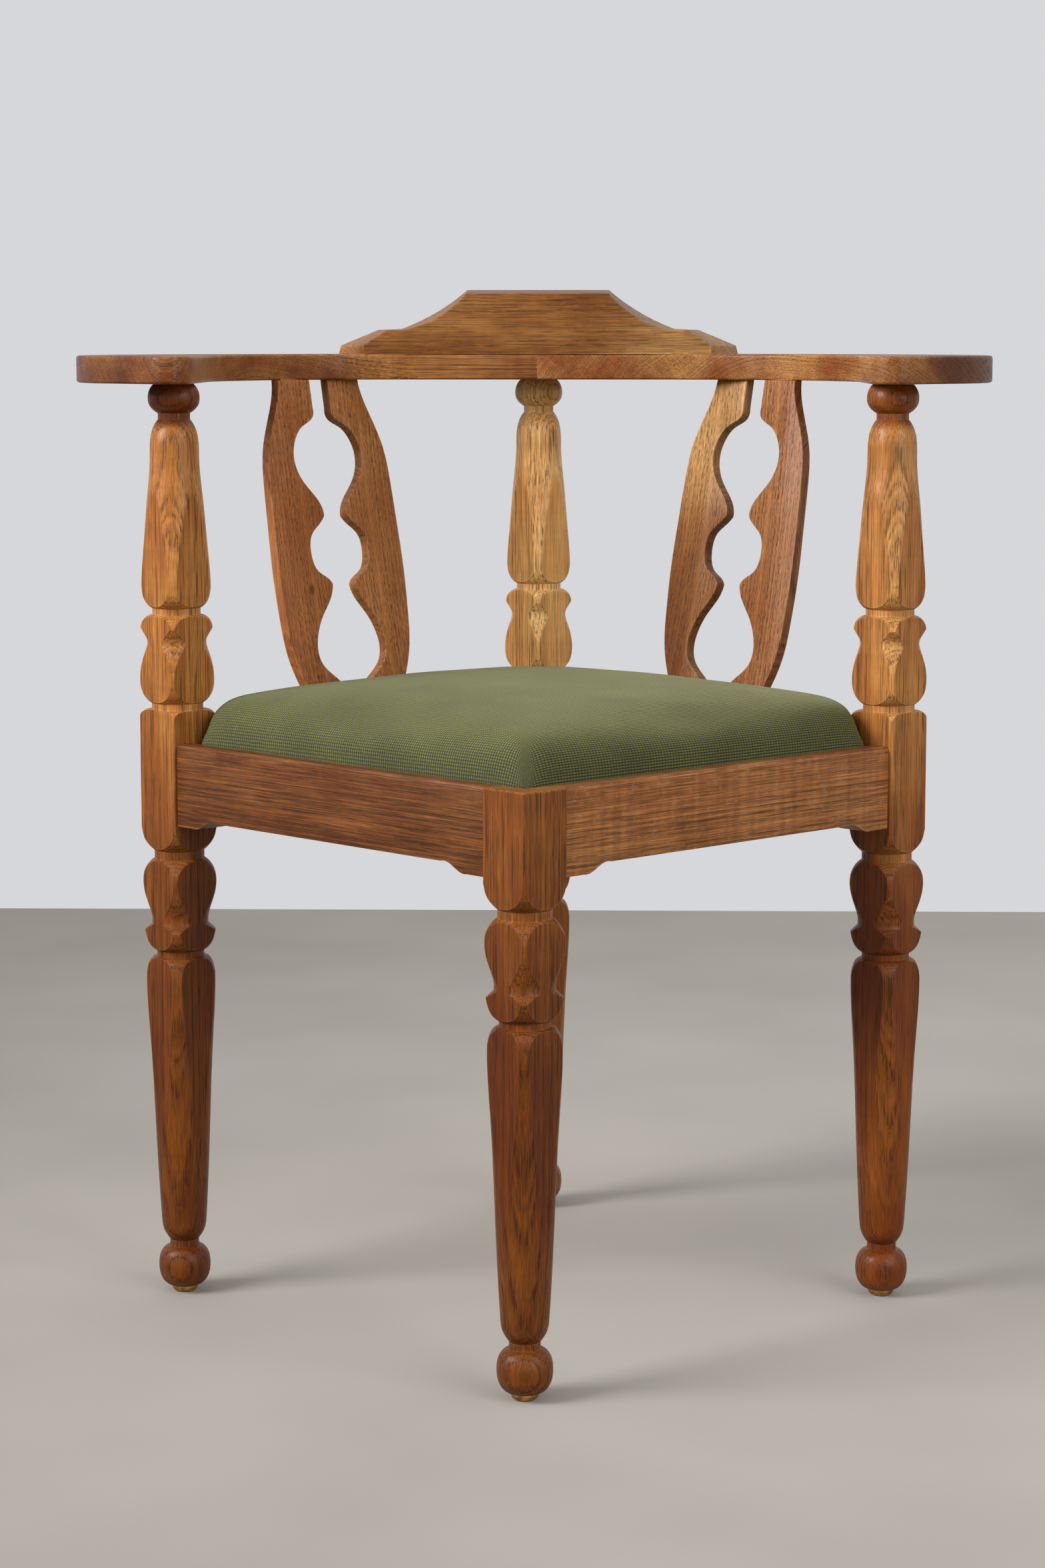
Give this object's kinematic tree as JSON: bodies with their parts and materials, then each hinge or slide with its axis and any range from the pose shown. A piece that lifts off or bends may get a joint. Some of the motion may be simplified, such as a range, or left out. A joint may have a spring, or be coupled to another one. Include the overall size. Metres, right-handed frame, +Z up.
{
  "type": "corner chair",
  "caption": "Corner chair with turned square posts, a horseshoe arm rail, a crest, shaped splats and a padded drop-in seat.",
  "frame": {"origin": "on the floor, under the middle of the seat square", "axes": "+Z up, +Y towards the back post, +X to the right as seen from the front corner"},
  "size_m": [0.702, 0.6038, 0.7815],
  "materials": {
    "oak_posts": "waxed",
    "oak_rails": "waxed",
    "oak_arms": "waxed",
    "oak_crest": "waxed",
    "oak_splats": "waxed",
    "pine_blocks": "sawn",
    "beech_seat_frame": "planed",
    "oak_dowels": "plain",
    "brass_glides": "worn",
    "steel_screws": "dull",
    "jute_webbing": "woven",
    "stuffing": "felted",
    "green_cover": "woven"
  },
  "bodies": {
    "chair_frame": {"front_leg": "oak_posts", "left_post": "oak_posts", "right_post": "oak_posts", "back_post": "oak_posts", "front_glide": "brass_glides", "right_glide": "brass_glides", "back_glide": "brass_glides", "left_glide": "brass_glides", "front_left_rail": "oak_rails", "front_right_rail": "oak_rails", "back_right_rail": "oak_rails", "back_left_rail": "oak_rails", "left_arm": "oak_arms", "right_arm": "oak_arms", "crest_rail": "oak_crest", "left_front_splat": "oak_splats", "left_back_splat": "oak_splats", "right_front_splat": "oak_splats", "right_back_splat": "oak_splats", "front_corner_block": "pine_blocks", "right_corner_block": "pine_blocks", "back_corner_block": "pine_blocks", "left_corner_block": "pine_blocks", "arm_dowels": "oak_dowels", "crest_screws": "steel_screws", "corner_block_screws": "steel_screws"},
    "seat": {"seat_bar_front_left": "beech_seat_frame", "seat_bar_back_right": "beech_seat_frame", "seat_bar_front_right": "beech_seat_frame", "seat_bar_back_left": "beech_seat_frame", "webbing_across": "jute_webbing", "webbing_along": "jute_webbing", "seat_foam": "stuffing", "seat_cover": "green_cover", "cover_tacks": "steel_screws", "webbing_tacks": "steel_screws"}
  },
  "joints": [
    {"name": "seat_lift", "type": "slide", "parent": "chair_frame", "child": "seat", "axis": [0, 0, 1], "range_m": [0, 0.12]}
  ]
}
